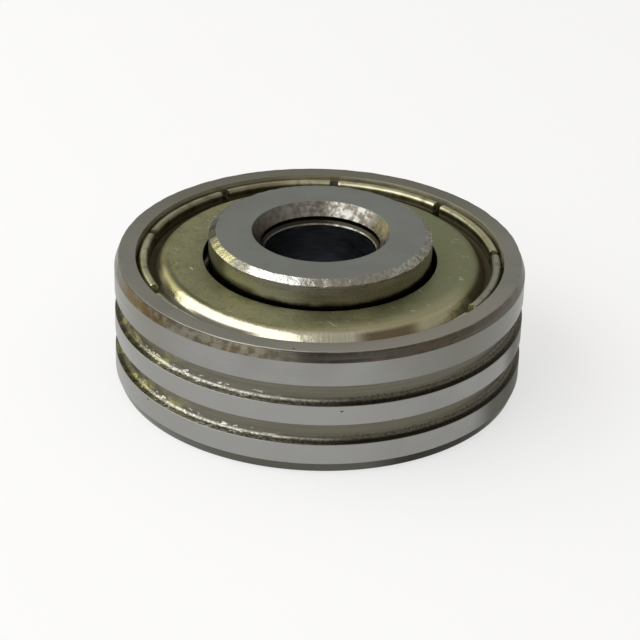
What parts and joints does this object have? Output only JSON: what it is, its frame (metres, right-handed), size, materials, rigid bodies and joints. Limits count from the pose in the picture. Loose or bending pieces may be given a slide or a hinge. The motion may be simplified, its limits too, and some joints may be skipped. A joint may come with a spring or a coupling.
{
  "type": "ball bearing",
  "caption": "Shielded ball bearing with a grooved outer ring for a moulded wheel and a long inner ring, proud of one face, with a countersunk bore.",
  "frame": {"origin": "on the bearing's axis, at the lower face of both rings", "axes": "+Z along the axis, towards the long end of the inner ring"},
  "size_m": [0.022, 0.022, 0.0084],
  "materials": {
    "outer_ring_steel": "ground steel, turned grooves left dull, rust stain and nicks at the upper corner",
    "inner_ring_steel": "fine ground end face, rough turned chamfer",
    "shield_sheet": "pressed steel sheet with a thin yellow zinc finish, fine scratches",
    "cage_sheet": "pressed steel sheet",
    "rivet_steel": "headed steel rivets",
    "ball_steel": "polished steel"
  },
  "bodies": {
    "outer": {"outer_ring": "outer_ring_steel", "upper_shield": "shield_sheet", "lower_shield": "shield_sheet"},
    "inner": {"inner_ring": "inner_ring_steel"},
    "cage": {"cage_upper": "cage_sheet", "cage_lower": "cage_sheet", "cage_rivets": "rivet_steel"},
    "ball_1": {"ball_1": "ball_steel"},
    "ball_2": {"ball_2": "ball_steel"},
    "ball_3": {"ball_3": "ball_steel"},
    "ball_4": {"ball_4": "ball_steel"},
    "ball_5": {"ball_5": "ball_steel"},
    "ball_6": {"ball_6": "ball_steel"},
    "ball_7": {"ball_7": "ball_steel"}
  },
  "joints": [
    {"name": "inner_ring_spin", "type": "hinge", "parent": "outer", "child": "inner", "pos_m": [0, 0, 0.0035], "axis": [0, 0, 1], "continuous": true},
    {"name": "cage_spin", "type": "hinge", "parent": "outer", "child": "cage", "pos_m": [0, 0, 0.0035], "axis": [0, 0, 1], "continuous": true},
    {"name": "ball_1_spin", "type": "hinge", "parent": "cage", "child": "ball_1", "pos_m": [0.0075, 0, 0.0035], "axis": [0, 0, 1], "continuous": true},
    {"name": "ball_2_spin", "type": "hinge", "parent": "cage", "child": "ball_2", "pos_m": [0.00468, 0.00586, 0.0035], "axis": [0, 0, 1], "continuous": true},
    {"name": "ball_3_spin", "type": "hinge", "parent": "cage", "child": "ball_3", "pos_m": [-0.00167, 0.00731, 0.0035], "axis": [0, 0, 1], "continuous": true},
    {"name": "ball_4_spin", "type": "hinge", "parent": "cage", "child": "ball_4", "pos_m": [-0.00676, 0.00325, 0.0035], "axis": [0, 0, 1], "continuous": true},
    {"name": "ball_5_spin", "type": "hinge", "parent": "cage", "child": "ball_5", "pos_m": [-0.00676, -0.00325, 0.0035], "axis": [0, 0, 1], "continuous": true},
    {"name": "ball_6_spin", "type": "hinge", "parent": "cage", "child": "ball_6", "pos_m": [-0.00167, -0.00731, 0.0035], "axis": [0, 0, 1], "continuous": true},
    {"name": "ball_7_spin", "type": "hinge", "parent": "cage", "child": "ball_7", "pos_m": [0.00468, -0.00586, 0.0035], "axis": [0, 0, 1], "continuous": true}
  ],
  "couplings": [
    {"joint": "cage_spin", "follows": "inner_ring_spin", "ratio": 0.3677},
    {"joint": "ball_1_spin", "follows": "inner_ring_spin", "ratio": -1.7573},
    {"joint": "ball_2_spin", "follows": "inner_ring_spin", "ratio": -1.7573},
    {"joint": "ball_3_spin", "follows": "inner_ring_spin", "ratio": -1.7573},
    {"joint": "ball_4_spin", "follows": "inner_ring_spin", "ratio": -1.7573},
    {"joint": "ball_5_spin", "follows": "inner_ring_spin", "ratio": -1.7573},
    {"joint": "ball_6_spin", "follows": "inner_ring_spin", "ratio": -1.7573},
    {"joint": "ball_7_spin", "follows": "inner_ring_spin", "ratio": -1.7573}
  ]
}
